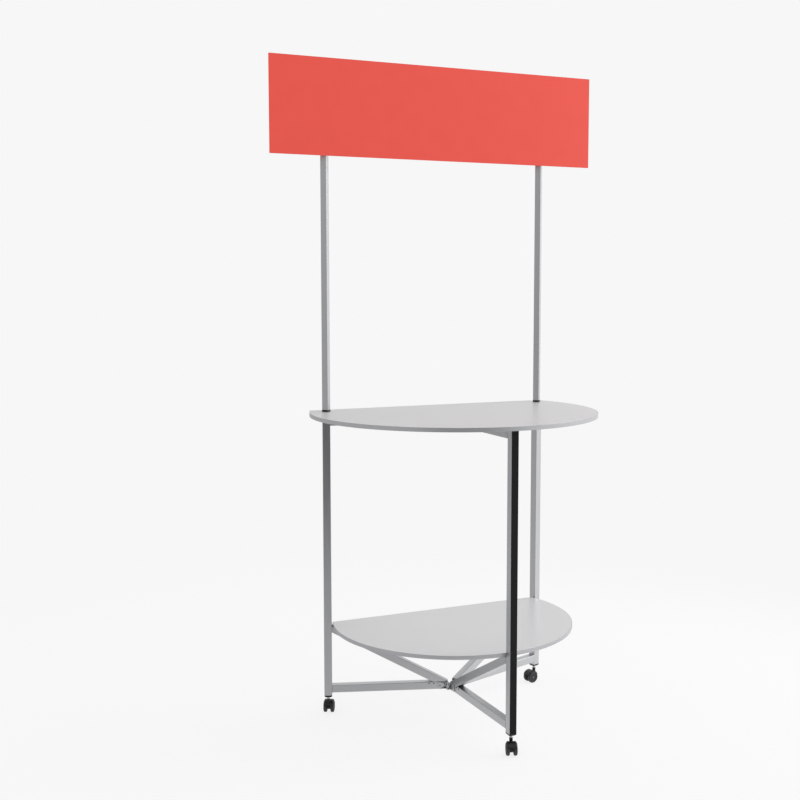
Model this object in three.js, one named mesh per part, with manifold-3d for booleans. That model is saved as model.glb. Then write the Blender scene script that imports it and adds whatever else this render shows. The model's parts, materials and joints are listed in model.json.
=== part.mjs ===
// A folding portable bar: three leg frames hinged at a hub, on castors, that carry
// a lower shelf, a half-round counter and a sign on two poles.
// Millimetres, +Z up, front towards -Y, right-hand side towards +X.
// The origin is on the floor, under the middle of the bar's bounding box.
import * as THREE from 'three';
import { mergeVertices } from 'three/addons/utils/BufferGeometryUtils.js';
import Module from 'manifold-3d';

// Leg frames
const LEG_REACH = 394;          // hinge line to the middle of a post
const REAR_ANGLE = 18.5;        // degrees that each rear leg points behind the left-right line
const FOLD_PITCH = 42;          // middle to middle of two frames folded side by side
const PROFILE = 25;             // square post, arm and strut
const PROFILE_WALL = 2;
const PROFILE_CORNER = 1.5;
const FOOT_HEIGHT = 57;         // floor to the underside of a castor's socket
const ARM_DROP = 6;             // top arm below the post's top
const STRUT_HEIGHT = 74;        // floor to the underside of a bottom strut
const DIAGONAL_DEPTH = 25;      // brace, across its slope
const DIAGONAL_WIDTH = 25;
const DIAGONAL_WALL = 2;
const DIAGONAL_HEEL = 2;        // brace's top edge above the strut at the hub
const DIAGONAL_HEAD = 2.5;      // brace's level head below the shelf
const DIAGONAL_CUT = 10.5;      // cut off the brace's top corner at the post, in height
const REST_LENGTH = 18;
const REST_WIDTH = 24;

// Post trim
const STRIP_WIDTH = 22.5;
const STRIP_THICKNESS = 1.3;
const CAP_THICKNESS = 3;
const SOCKET_TAPER = 4;         // height of the sloping part of a castor's socket
const SOCKET_TIP = 17;          // width of the socket's lower end
const PLUG_DEPTH = 22;

// Fits
const JOINT_GAP = 0.3;          // between pieces that touch
const COUNTER_SEAT = 0.5;       // frame top to the counter's underside
const SHELF_GAP = 1.5;          // shelf's front edge to the front post
const LAP = 1;                  // by which one solid's forms, or a cut, run past a face

// Hinges
const HINGE_HEIGHT = 22;
const LEAF_LENGTH = 34;
const LEAF_THICKNESS = 2.5;
const BARREL_RADIUS = 6;
const BARREL_CLEARANCE = 0.5;
const KNUCKLE_GAP = 0.4;
const MIDDLE_KNUCKLE = 7.4;
const LEAF_WEB = 6;
const PIN_RADIUS = 3;
const PIN_PLAY = 0.15;
const PIN_HEAD_RADIUS = 4.5;
const PIN_HEAD = 1;

// Castors
const WHEEL_RADIUS = 20;
const WHEEL_WIDTH = 11;
const WHEEL_EDGE = 4;           // rounding of the tread's edges
const WHEEL_DISH = 2;           // depth of the recess in a wheel's outer face
const WHEEL_HUB_RADIUS = 7;
const CASTOR_TRAIL = 15;        // stem to axle
const CASTOR_WEB = 10;          // plate between the two wheels
const WEB_RADIUS = 10.5;
const WEB_GAP = 1;              // web to wheel
const HOOD_GAP = 1;             // tread to hood
const HOOD_THICKNESS = 1.8;
const HOOD_START = 22;          // degrees above the axle, trailing side
const HOOD_END = 160;
const HOOD_INSET = 3;           // hood short of the wheels' outer faces
const AXLE_RADIUS = 2.5;
const AXLE_PLAY = 0.15;
const STEM_RADIUS = 4;
const STEM_PLAY = 0.3;
const STEM_DEPTH = 28;          // stem inside the socket
const STEM_BOSS_RADIUS = 5.5;
const STEM_BOSS_HEIGHT = 50;    // floor to the top of the boss
const STEM_BOSS_LENGTH = 16;
// Degrees from +X towards +Y in which each castor trails
const LEFT_TRAIL = 62;
const RIGHT_TRAIL = 190;
const FRONT_TRAIL = 248;

// Counter and shelf boards
const COUNTER_HEIGHT = 1000;    // floor to the counter's top
const COUNTER_THICKNESS = 13;
const COUNTER_CENTRE = 9;       // round edge's centre behind the hub
const COUNTER_OVERHANG = 49.5;  // past the front post
const COUNTER_BACK = 57;        // straight edge behind the rear posts
const SHELF_HEIGHT = 308;
const SHELF_THICKNESS = 12;
const SHELF_CENTRE = 14;
const SHELF_BACK = 5;           // straight edge in front of the rear posts
const BAND_THICKNESS = 1.2;

// Sign and poles
const POLE = 20;
const POLE_WALL = 1.8;
const POLE_CORNER = 1;
const POLE_TURN = 45;           // degrees, an edge to the front
const POLE_TOP = 40;            // pole's end below the sign's top
const FOOT_FLANGE = 21;
const FOOT_FLANGE_HEIGHT = 6;
const FOOT_SPIGOT = 45;
const PEG_RADIUS = 8;
const PEG_PLAY = 0.4;
const SIGN_BOTTOM = 1809;
const SIGN_HEIGHT = 301;
const SIGN_THICKNESS = 4;
const SIGN_OVERHANG = 185;      // past the middle of each pole
const SLEEVE_WALL = 2.5;
const SLEEVE_INSET = 25;        // sleeve's ends inside the sign's edges

// Fineness of round forms
const BOARD_STEPS = 28;
const CORNER_STEPS = 2;
const PEG_SIDES = 16;
const WHEEL_SIDES = 24;

const rad = THREE.MathUtils.degToRad;

// Places worked out from the driving dimensions
const half = PROFILE / 2;
const pinOffset = FOLD_PITCH / 2;
const rear = rad(REAR_ANGLE);
const rearPostX = pinOffset * (1 - Math.sin(rear)) + LEG_REACH * Math.cos(rear);
const rearPostY = pinOffset * Math.cos(rear) + LEG_REACH * Math.sin(rear);
const counterRadius = LEG_REACH + half + COUNTER_OVERHANG + COUNTER_CENTRE;
const counterBack = rearPostY + COUNTER_BACK;
const counterUnderside = COUNTER_HEIGHT - COUNTER_THICKNESS;
const shelfRadius = LEG_REACH - half - SHELF_GAP + SHELF_CENTRE;
const shelfBack = rearPostY - SHELF_BACK;
const shelfUnderside = SHELF_HEIGHT - SHELF_THICKNESS;
const frameTop = counterUnderside - COUNTER_SEAT;
const armMiddle = frameTop - ARM_DROP - half;
const strutMiddle = STRUT_HEIGHT + half;
const strutTop = STRUT_HEIGHT + PROFILE;
const barLength = LEG_REACH - half - JOINT_GAP;
const hubY = (counterRadius - COUNTER_CENTRE - counterBack) / 2;

const wasm = await Module();
wasm.setup();

function solidOf(geometry) {
  const bare = geometry.clone();
  bare.deleteAttribute('normal');
  bare.deleteAttribute('uv');
  const merged = mergeVertices(bare, 1e-4);
  const vertProperties = Float32Array.from(merged.attributes.position.array);
  const triVerts = Uint32Array.from(merged.index.array);
  return new wasm.Manifold(new wasm.Mesh({ numProp: 3, vertProperties, triVerts }));
}

function geometryOf(body) {
  const { vertProperties, triVerts } = body.getMesh();
  const indexed = new THREE.BufferGeometry();
  indexed.setAttribute('position', new THREE.BufferAttribute(vertProperties, 3));
  indexed.setIndex(new THREE.BufferAttribute(triVerts, 1));
  const geometry = indexed.toNonIndexed();
  geometry.computeVertexNormals();
  return geometry;
}

function joined(first, ...others) {
  return geometryOf(others.reduce((body, other) => body.add(solidOf(other)), solidOf(first)));
}

function cut(first, ...others) {
  return geometryOf(others.reduce((body, other) => body.subtract(solidOf(other)), solidOf(first)));
}

// Geometry helpers: each returns a closed solid in its own place

function box(low, high) {
  const size = high.map((value, axis) => value - low[axis]);
  const middle = high.map((value, axis) => (value + low[axis]) / 2);
  return new THREE.BoxGeometry(...size).translate(...middle);
}

function upright(radius, low, high, x = 0, y = 0, sides = PEG_SIDES) {
  const rod = new THREE.CylinderGeometry(radius, radius, high - low, sides);
  return rod.rotateX(Math.PI / 2).translate(x, y, (low + high) / 2);
}

function crosswise(radius, width, x, z, sides = PEG_SIDES) {
  return new THREE.CylinderGeometry(radius, radius, width, sides).translate(x, 0, z);
}

function extruded(shape, depth, steps) {
  return new THREE.ExtrudeGeometry(shape, { depth, bevelEnabled: false, curveSegments: steps });
}

// A side view in X and Z, given a width across Y
function sideways(shape, width, steps = CORNER_STEPS) {
  return extruded(shape, width, steps).rotateX(Math.PI / 2).translate(0, width / 2, 0);
}

function roundedRectangle(path, low, high, radius) {
  const [x0, y0] = low;
  const [x1, y1] = high;
  path.moveTo(x0 + radius, y0);
  path.lineTo(x1 - radius, y0);
  path.absarc(x1 - radius, y0 + radius, radius, -Math.PI / 2, 0);
  path.lineTo(x1, y1 - radius);
  path.absarc(x1 - radius, y1 - radius, radius, 0, Math.PI / 2);
  path.lineTo(x0 + radius, y1);
  path.absarc(x0 + radius, y1 - radius, radius, Math.PI / 2, Math.PI);
  path.lineTo(x0, y0 + radius);
  path.absarc(x0 + radius, y0 + radius, radius, Math.PI, Math.PI * 1.5);
  path.closePath();
  return path;
}

function squareTube(side, wall, corner) {
  const shape = roundedRectangle(new THREE.Shape(), [-side / 2, -side / 2], [side / 2, side / 2], corner);
  const inside = side / 2 - wall;
  shape.holes.push(roundedRectangle(new THREE.Path(), [-inside, -inside], [inside, inside], corner / 2));
  return shape;
}

// A square tube from the hub out along X, at one height
function radialTube(middle) {
  const shape = squareTube(PROFILE, PROFILE_WALL, PROFILE_CORNER);
  return extruded(shape, barLength, CORNER_STEPS).rotateY(Math.PI / 2).translate(0, 0, middle);
}

// Half-round outline: an arc round the front, closed by a straight back edge
function boardOutline(path, radius, centre, back) {
  const corner = Math.asin((back - centre) / radius);
  path.absarc(0, centre, radius, Math.PI - corner, 2 * Math.PI + corner);
  path.closePath();
  return path;
}

// Materials
function finish(color, roughness, metalness) {
  return new THREE.MeshStandardMaterial({ color, roughness, metalness });
}
const aluminium = () => finish(0xb9bbbd, 0.38, 0.9);
const steel = () => finish(0x8d8f92, 0.4, 0.9);
const blackPlastic = () => finish(0x191a1c, 0.5, 0);
const blackTread = () => finish(0x222325, 0.65, 0);
const greyLaminate = () => finish(0xd2d2d3, 0.35, 0);
const edgeBand = () => finish(0xa9aaac, 0.5, 0);
const redPanel = () => finish(0xe6584f, 0.55, 0);

function piece(parent, name, geometry, material) {
  const mesh = new THREE.Mesh(geometry, material);
  mesh.name = name;
  parent.add(mesh);
  return mesh;
}

// Post: a tube with a groove down its outer face for the black strip
const grooveDepth = STRIP_THICKNESS + JOINT_GAP;
const grooveHalf = STRIP_WIDTH / 2 + JOINT_GAP;
const boreLow = [-half + PROFILE_WALL, -half + PROFILE_WALL];
const boreHigh = [half - grooveDepth - PROFILE_WALL, half - PROFILE_WALL];
const socketPlate = FOOT_HEIGHT + SOCKET_TAPER;
const postLow = socketPlate + CAP_THICKNESS + JOINT_GAP;
const postHigh = frameTop - CAP_THICKNESS - JOINT_GAP;

function postTube() {
  const shape = roundedRectangle(new THREE.Shape(), [-half, -half], [half, half], PROFILE_CORNER);
  shape.holes.push(roundedRectangle(new THREE.Path(), boreLow, boreHigh, PROFILE_CORNER / 2));
  const tube = extruded(shape, postHigh - postLow, CORNER_STEPS).translate(0, 0, postLow);
  const grooveLow = [half - grooveDepth, -grooveHalf, postLow - LAP];
  const groove = box(grooveLow, [half + LAP, grooveHalf, postHigh + LAP]);
  return cut(tube, groove).translate(LEG_REACH, 0, 0);
}

function postStrip() {
  const outer = LEG_REACH + half;
  const inner = outer - STRIP_THICKNESS;
  return box([inner, -STRIP_WIDTH / 2, postLow], [outer, STRIP_WIDTH / 2, postHigh]);
}

// A plate over a post's end with a plug in its bore, drilled through for a pin
function postPlug(plateLow, plugLow, plugHigh, holeRadius, ...others) {
  const shape = roundedRectangle(new THREE.Shape(), [-half, -half], [half, half], PROFILE_CORNER);
  const plate = extruded(shape, CAP_THICKNESS, CORNER_STEPS).translate(0, 0, plateLow);
  const [x0, y0] = boreLow.map((value) => value + JOINT_GAP);
  const [x1, y1] = boreHigh.map((value) => value - JOINT_GAP);
  const plug = box([x0, y0, plugLow], [x1, y1, plugHigh]);
  const hole = upright(holeRadius, plateLow - PLUG_DEPTH * 2, plateLow + PLUG_DEPTH * 2);
  return cut(joined(plate, plug, ...others), hole).translate(LEG_REACH, 0, 0);
}

function postCap() {
  const plateLow = frameTop - CAP_THICKNESS;
  return postPlug(plateLow, plateLow - PLUG_DEPTH, plateLow + CAP_THICKNESS / 2, PEG_RADIUS + PEG_PLAY);
}

function castorSocket() {
  const plateHigh = socketPlate + CAP_THICKNESS;
  const holeRadius = STEM_RADIUS + STEM_PLAY;
  const [base, tip] = [PROFILE, SOCKET_TIP].map((side) => side * Math.SQRT1_2);
  const taper = new THREE.CylinderGeometry(base, tip, SOCKET_TAPER, 4, 1, false, Math.PI / 4);
  taper.rotateX(Math.PI / 2).translate(0, 0, FOOT_HEIGHT + SOCKET_TAPER / 2);
  const plugLow = plateHigh - CAP_THICKNESS / 2;
  return postPlug(socketPlate, plugLow, plateHigh + PLUG_DEPTH, holeRadius, taper);
}

// Brace: from the strut's inner end up to the post, its top corner cut level under the shelf
const braceFoot = strutTop + DIAGONAL_HEEL;
const braceHead = shelfUnderside - DIAGONAL_HEAD;
const braceRise = braceHead + DIAGONAL_CUT - braceFoot;
const braceSlope = braceRise / barLength;
const bracePitch = Math.atan(braceSlope);

function diagonalBrace() {
  const drop = DIAGONAL_DEPTH / Math.cos(bracePitch);
  const seat = strutTop + JOINT_GAP;
  const outline = new THREE.Shape();
  outline.moveTo(0, seat);
  outline.lineTo((seat - braceFoot + drop) / braceSlope, seat);
  outline.lineTo(barLength, braceFoot + braceRise - drop);
  outline.lineTo(barLength, braceHead);
  outline.lineTo((braceHead - braceFoot) / braceSlope, braceHead);
  outline.lineTo(0, braceFoot);
  outline.closePath();
  const bar = sideways(outline, DIAGONAL_WIDTH);
  const inside = DIAGONAL_DEPTH - 2 * DIAGONAL_WALL;
  const reach = barLength * 2;
  const bore = new THREE.BoxGeometry(reach, DIAGONAL_WIDTH - 2 * DIAGONAL_WALL, inside);
  bore.rotateY(-bracePitch).translate(barLength / 2, 0, braceFoot + (braceRise - drop) / 2);
  return cut(bar, bore);
}

// Shelf rest: a flat pad over the brace's level head
function shelfRest() {
  const low = braceHead + JOINT_GAP;
  const top = shelfUnderside - JOINT_GAP;
  const inner = barLength - REST_LENGTH;
  const outline = new THREE.Shape();
  outline.moveTo(inner, low);
  outline.lineTo(barLength, low);
  outline.lineTo(barLength, top);
  outline.lineTo(inner, top);
  outline.closePath();
  return sideways(outline, REST_WIDTH);
}

// Castor: local X runs from the stem to the axle, Y along the axle
function wheelProfile() {
  const bore = AXLE_RADIUS + AXLE_PLAY;
  const outer = WHEEL_RADIUS;
  const rim = WHEEL_RADIUS - WHEEL_EDGE;
  const face = WHEEL_WIDTH - WHEEL_DISH;
  const bevel = WHEEL_EDGE * (1 - Math.SQRT1_2);
  return [
    [bore, 0],
    [rim, 0],
    [outer - bevel, bevel],
    [outer, WHEEL_EDGE],
    [outer, WHEEL_WIDTH - WHEEL_EDGE],
    [outer - bevel, WHEEL_WIDTH - bevel],
    [rim, WHEEL_WIDTH],
    [rim - WHEEL_EDGE, face],
    [WHEEL_HUB_RADIUS, face],
    [WHEEL_HUB_RADIUS - WHEEL_DISH, WHEEL_WIDTH],
    [bore, WHEEL_WIDTH],
    [bore, 0],
  ].map(([radius, along]) => new THREE.Vector2(radius, along));
}
const wheelInner = CASTOR_WEB / 2 + WEB_GAP;
const castorHalf = wheelInner + WHEEL_WIDTH;

function castorWheel(side) {
  const wheel = new THREE.LatheGeometry(wheelProfile(), WHEEL_SIDES).translate(0, wheelInner, 0);
  if (side < 0) wheel.rotateX(Math.PI);
  return wheel.translate(CASTOR_TRAIL, 0, WHEEL_RADIUS);
}

function castorAxle() {
  return crosswise(AXLE_RADIUS, 2 * (castorHalf - WHEEL_DISH), CASTOR_TRAIL, WHEEL_RADIUS);
}

function castorFork() {
  const hoodInner = WHEEL_RADIUS + HOOD_GAP;
  const hoodOuter = hoodInner + HOOD_THICKNESS;
  const [start, end] = [rad(HOOD_START), rad(HOOD_END)];
  const hood = new THREE.Shape();
  hood.absarc(CASTOR_TRAIL, WHEEL_RADIUS, hoodOuter, start, end);
  hood.absarc(CASTOR_TRAIL, WHEEL_RADIUS, hoodInner, end, start, true);
  hood.closePath();
  const web = new THREE.Shape();
  web.absarc(CASTOR_TRAIL, WHEEL_RADIUS, hoodInner + HOOD_THICKNESS / 2, start, end);
  web.absarc(CASTOR_TRAIL, WHEEL_RADIUS, WEB_RADIUS, Math.PI, 2 * Math.PI);
  web.closePath();
  const body = joined(
    sideways(hood, 2 * (castorHalf - HOOD_INSET), WHEEL_SIDES / 4),
    sideways(web, CASTOR_WEB, WHEEL_SIDES / 4),
    upright(STEM_BOSS_RADIUS, STEM_BOSS_HEIGHT - STEM_BOSS_LENGTH, STEM_BOSS_HEIGHT),
    upright(STEM_RADIUS, STEM_BOSS_HEIGHT - STEM_BOSS_LENGTH / 2, FOOT_HEIGHT + STEM_DEPTH),
  );
  const tracks = [-1, 1].map((side) => {
    const track = crosswise(hoodInner, WHEEL_WIDTH + WEB_GAP, CASTOR_TRAIL, WHEEL_RADIUS, WHEEL_SIDES);
    return track.translate(0, side * (wheelInner - WEB_GAP + (WHEEL_WIDTH + WEB_GAP) / 2), 0);
  });
  const bore = crosswise(AXLE_RADIUS + AXLE_PLAY, CASTOR_WEB * 2, CASTOR_TRAIL, WHEEL_RADIUS);
  return cut(body, bore, ...tracks);
}

// Hinge leaf: a plate on a bar's side with knuckles round the pin
function hingeLeaf(side, middle, knuckles) {
  const pinY = side * pinOffset;
  const plateInner = side * (half + JOINT_GAP);
  const plateOuter = side * (half + JOINT_GAP + LEAF_THICKNESS);
  const spanOf = (a, b) => [Math.min(a, b), Math.max(a, b)];
  const [plate0, plate1] = spanOf(plateInner, plateOuter);
  const [web0, web1] = spanOf(plateInner, pinY);
  const low = middle - HINGE_HEIGHT / 2;
  const high = middle + HINGE_HEIGHT / 2;
  const plate = box([0, plate0, low], [LEAF_LENGTH, plate1, high]);
  const clearing = upright(BARREL_RADIUS + BARREL_CLEARANCE, low - LAP, high + LAP, 0, pinY);
  const parts = knuckles.flatMap(([from, to]) => [
    upright(BARREL_RADIUS, middle + from, middle + to, 0, pinY),
    box([0, web0, middle + from], [LEAF_WEB, web1, middle + to]),
  ]);
  const hole = upright(PIN_RADIUS + PIN_PLAY, low - LAP, high + LAP, 0, pinY);
  return cut(joined(cut(plate, clearing), ...parts), hole);
}
const middleKnuckle = [[-MIDDLE_KNUCKLE / 2, MIDDLE_KNUCKLE / 2]];
const outerKnuckles = [
  [-HINGE_HEIGHT / 2, -MIDDLE_KNUCKLE / 2 - KNUCKLE_GAP],
  [MIDDLE_KNUCKLE / 2 + KNUCKLE_GAP, HINGE_HEIGHT / 2],
];

function hingePin(side, middle) {
  const shank = HINGE_HEIGHT / 2 + JOINT_GAP;
  const end = shank + PIN_HEAD;
  const profile = [
    [0, -end],
    [PIN_HEAD_RADIUS, -end],
    [PIN_HEAD_RADIUS, -shank],
    [PIN_RADIUS, -shank],
    [PIN_RADIUS, shank],
    [PIN_HEAD_RADIUS, shank],
    [PIN_HEAD_RADIUS, end],
    [0, end],
  ].map(([radius, along]) => new THREE.Vector2(radius, along));
  const pin = new THREE.LatheGeometry(profile, PEG_SIDES).rotateX(Math.PI / 2);
  return pin.translate(0, side * pinOffset, middle);
}

const bar = new THREE.Group();
const hub = new THREE.Group();
hub.position.y = hubY;
bar.add(hub);

// One leg frame with its castor; its local X points outwards from the hub
function legFrame(name, heading, trail, x, y) {
  const leg = new THREE.Group();
  leg.position.set(x, y, 0);
  leg.rotation.z = heading;
  hub.add(leg);
  piece(leg, `${name}_post`, postTube(), aluminium());
  piece(leg, `${name}_post_strip`, postStrip(), blackPlastic());
  piece(leg, `${name}_post_cap`, postCap(), blackPlastic());
  piece(leg, `${name}_top_arm`, radialTube(armMiddle), aluminium());
  piece(leg, `${name}_bottom_strut`, radialTube(strutMiddle), aluminium());
  piece(leg, `${name}_diagonal_brace`, diagonalBrace(), aluminium());
  piece(leg, `${name}_shelf_rest`, shelfRest(), blackPlastic());
  piece(leg, `${name}_castor_socket`, castorSocket(), blackPlastic());

  const castor = new THREE.Group();
  castor.position.x = LEG_REACH;
  castor.rotation.z = rad(trail) - heading;
  leg.add(castor);
  piece(castor, `${name}_castor_fork`, castorFork(), blackPlastic());
  piece(castor, `${name}_castor_axle`, castorAxle(), steel());
  piece(castor, `${name}_castor_wheel_a`, castorWheel(1), blackTread());
  piece(castor, `${name}_castor_wheel_b`, castorWheel(-1), blackTread());
  return leg;
}

const rearX = pinOffset * (1 - Math.sin(rear));
const rearY = pinOffset * Math.cos(rear);
const frontLeg = legFrame('front', -Math.PI / 2, FRONT_TRAIL, 0, 0);
const leftLeg = legFrame('left', Math.PI - rear, LEFT_TRAIL, -rearX, rearY);
const rightLeg = legFrame('right', rear, RIGHT_TRAIL, rearX, rearY);

// Hinges: the fixed leaf on the front frame, the moving leaf on a rear frame
for (const [name, leg, side] of [['left', leftLeg, -1], ['right', rightLeg, 1]]) {
  for (const [level, middle] of [['upper', armMiddle], ['lower', strutMiddle]]) {
    const hinge = `${name}_${level}_hinge`;
    piece(frontLeg, `${hinge}_fixed_leaf`, hingeLeaf(side, middle, outerKnuckles), steel());
    piece(leg, `${hinge}_moving_leaf`, hingeLeaf(-side, middle, middleKnuckle), steel());
    piece(frontLeg, `${hinge}_pin`, hingePin(side, middle), steel());
  }
}

// A board with its edge band round it
function board(name, radius, centre, back, low, thickness, holes) {
  const inset = BAND_THICKNESS + JOINT_GAP;
  const core = boardOutline(new THREE.Shape(), radius - inset, centre, back - inset);
  for (const x of holes) {
    const hole = new THREE.Path();
    hole.absarc(x, rearPostY, PEG_RADIUS + PEG_PLAY, 0, Math.PI * 2);
    core.holes.push(hole);
  }
  const ring = boardOutline(new THREE.Shape(), radius, centre, back);
  ring.holes.push(boardOutline(new THREE.Path(), radius - BAND_THICKNESS, centre, back - BAND_THICKNESS));
  const slab = extruded(core, thickness, BOARD_STEPS).translate(0, 0, low);
  const band = extruded(ring, thickness, BOARD_STEPS).translate(0, 0, low);
  piece(hub, `${name}_board`, slab, greyLaminate());
  piece(hub, `${name}_edge_band`, band, edgeBand());
}
board('shelf', shelfRadius, SHELF_CENTRE, shelfBack, shelfUnderside, SHELF_THICKNESS, []);
const pegHoles = [-rearPostX, rearPostX];
board('counter', counterRadius, COUNTER_CENTRE, counterBack, counterUnderside, COUNTER_THICKNESS, pegHoles);

// Poles over the rear posts; each foot's peg goes through the counter
const footLow = COUNTER_HEIGHT + JOINT_GAP;
const poleLow = footLow + FOOT_FLANGE_HEIGHT + JOINT_GAP;
const poleHigh = SIGN_BOTTOM + SIGN_HEIGHT - POLE_TOP;

function poleFoot() {
  const flangeHigh = footLow + FOOT_FLANGE_HEIGHT;
  const shape = roundedRectangle(
    new THREE.Shape(),
    [-FOOT_FLANGE / 2, -FOOT_FLANGE / 2],
    [FOOT_FLANGE / 2, FOOT_FLANGE / 2],
    POLE_CORNER,
  );
  const flange = extruded(shape, FOOT_FLANGE_HEIGHT, CORNER_STEPS).translate(0, 0, footLow);
  const inside = POLE / 2 - POLE_WALL - JOINT_GAP;
  const spigot = box([-inside, -inside, flangeHigh - LAP], [inside, inside, flangeHigh + FOOT_SPIGOT]);
  const peg = upright(PEG_RADIUS, counterUnderside + JOINT_GAP, footLow + LAP);
  return joined(flange, spigot, peg);
}

// Sleeve behind the sign: a block with a square bore that the pole slides into
const bore = POLE / 2 + JOINT_GAP;
const boreReach = bore * Math.SQRT2;
const sleeveHalf = boreReach + SLEEVE_WALL;

function signSleeve() {
  const shape = roundedRectangle(
    new THREE.Shape(),
    [-sleeveHalf, -sleeveHalf],
    [sleeveHalf, sleeveHalf],
    POLE_CORNER,
  );
  const hole = new THREE.Path();
  for (let corner = 0; corner < 4; corner += 1) {
    const angle = rad(POLE_TURN + 45 + corner * 90);
    const point = [boreReach * Math.cos(angle), boreReach * Math.sin(angle)];
    if (corner === 0) hole.moveTo(...point);
    else hole.lineTo(...point);
  }
  hole.closePath();
  shape.holes.push(hole);
  return extruded(shape, SIGN_HEIGHT - 2 * SLEEVE_INSET, CORNER_STEPS);
}

for (const [name, side] of [['left', -1], ['right', 1]]) {
  const stand = new THREE.Group();
  stand.position.set(side * rearPostX, rearPostY, 0);
  hub.add(stand);
  const turned = new THREE.Group();
  turned.rotation.z = rad(POLE_TURN);
  stand.add(turned);
  const tube = squareTube(POLE, POLE_WALL, POLE_CORNER);
  const pole = extruded(tube, poleHigh - poleLow, CORNER_STEPS).translate(0, 0, poleLow);
  piece(turned, `${name}_pole`, pole, aluminium());
  piece(turned, `${name}_pole_foot`, poleFoot(), blackPlastic());
  const sleeve = signSleeve().translate(0, 0, SIGN_BOTTOM + SLEEVE_INSET);
  piece(stand, `${name}_sign_sleeve`, sleeve, aluminium());
}

// Sign: a flat panel in front of the sleeves
const panelBack = rearPostY - sleeveHalf - JOINT_GAP;
const panelHalf = rearPostX + SIGN_OVERHANG;
const signTop = SIGN_BOTTOM + SIGN_HEIGHT;
const panel = box([-panelHalf, panelBack - SIGN_THICKNESS, SIGN_BOTTOM], [panelHalf, panelBack, signTop]);
piece(hub, 'sign_panel', panel, redPanel());

export default bar;
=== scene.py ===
import json
import math

import bmesh
import bpy
from mathutils import Matrix, Vector


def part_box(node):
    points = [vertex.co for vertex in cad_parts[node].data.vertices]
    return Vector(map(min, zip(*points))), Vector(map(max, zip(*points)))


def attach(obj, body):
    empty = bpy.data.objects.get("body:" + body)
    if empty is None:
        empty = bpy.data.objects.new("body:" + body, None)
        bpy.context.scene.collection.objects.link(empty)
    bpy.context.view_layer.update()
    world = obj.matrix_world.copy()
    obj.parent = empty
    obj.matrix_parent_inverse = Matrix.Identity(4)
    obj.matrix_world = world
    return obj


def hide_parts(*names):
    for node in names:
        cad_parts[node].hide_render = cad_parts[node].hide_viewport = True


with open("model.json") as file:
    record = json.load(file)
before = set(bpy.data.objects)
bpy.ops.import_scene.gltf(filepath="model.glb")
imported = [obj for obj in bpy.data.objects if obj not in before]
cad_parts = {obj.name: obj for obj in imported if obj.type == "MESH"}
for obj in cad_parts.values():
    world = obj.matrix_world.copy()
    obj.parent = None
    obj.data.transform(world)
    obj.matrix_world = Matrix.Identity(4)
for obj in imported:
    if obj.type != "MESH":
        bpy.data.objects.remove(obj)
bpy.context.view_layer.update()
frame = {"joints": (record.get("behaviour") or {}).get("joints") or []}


# Leg posts: square aluminium extrusions that stand over the castors and carry the
# counter. Each has rounded corners from the die, a shallow channel down its outer
# face and a hollow middle, and is satin anodised in its natural silver.
MM = 0.001
POST_SIDE = 25 * MM
POST_CORNER = 1.5 * MM
POST_WALL = 2 * MM
CHANNEL_WIDTH = 23.1 * MM
CHANNEL_DEPTH = 1.6 * MM
LEG_REACH = 394 * MM
REAR_ANGLE = math.radians(18.5)
CORNER_STEPS = 5
EDGE_ROUNDING = 0.25 * MM
SMOOTH_ANGLE = math.radians(40)
WELD_REACH = 0.001 * MM

joint_at = {
    joint["name"]: Vector(joint["pos_m"]) for joint in frame["joints"] if "pos_m" in joint
}
hub_y = joint_at["left_fold"].y
pin_offset = joint_at["right_fold"].x
rear_x = pin_offset * (1 - math.sin(REAR_ANGLE))
rear_y = pin_offset * math.cos(REAR_ANGLE)
leg_heading = {"front": -math.pi / 2, "left": math.pi - REAR_ANGLE, "right": REAR_ANGLE}
leg_root = {
    "front": (0, hub_y, 0),
    "left": (-rear_x, hub_y + rear_y, 0),
    "right": (rear_x, hub_y + rear_y, 0),
}
leg_place = {
    leg: Matrix.Translation(leg_root[leg]) @ Matrix.Rotation(heading, 4, "Z")
    for leg, heading in leg_heading.items()
}


def let_go():
    """Leave edit mode and select nothing."""
    if bpy.context.object and bpy.context.object.mode == "EDIT":
        bpy.ops.object.mode_set(mode="OBJECT")
    bpy.ops.object.select_all(action="DESELECT")


def begin(add, **settings):
    """Add a primitive by itself, keep its place in its mesh and open it for shaping."""
    let_go()
    add(**settings)
    bpy.ops.object.transform_apply(location=True, rotation=True, scale=True)
    bpy.ops.object.mode_set(mode="EDIT")
    bpy.ops.mesh.select_all(action="SELECT")


def pick(kind, wanted):
    """Select only the vertices, edges or faces in hand that pass a test."""
    bpy.ops.mesh.select_mode(type=kind)
    bpy.ops.mesh.select_all(action="DESELECT")
    shape = bmesh.from_edit_mesh(bpy.context.object.data)
    for part in {"VERT": shape.verts, "EDGE": shape.edges, "FACE": shape.faces}[kind]:
        if wanted(part):
            part.select_set(True)
    shape.select_flush_mode()
    bmesh.update_edit_mesh(bpy.context.object.data)


def pull(x, y, z):
    """Extrude what is selected."""
    bpy.ops.mesh.extrude_region_move(TRANSFORM_OT_translate={"value": (x, y, z)})


def cut_along(point, normal, **clearing):
    """Cut all that is in hand along a plane."""
    bpy.ops.mesh.select_all(action="SELECT")
    bpy.ops.mesh.bisect(plane_co=point, plane_no=normal, **clearing)


def close_up(name):
    """Merge doubled points, turn every face outwards and leave edit mode."""
    bpy.ops.mesh.select_all(action="SELECT")
    bpy.ops.mesh.remove_doubles(threshold=WELD_REACH)
    bpy.ops.mesh.normals_make_consistent(inside=False)
    bpy.ops.object.mode_set(mode="OBJECT")
    piece = bpy.context.object
    piece.name = name
    return piece


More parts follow.
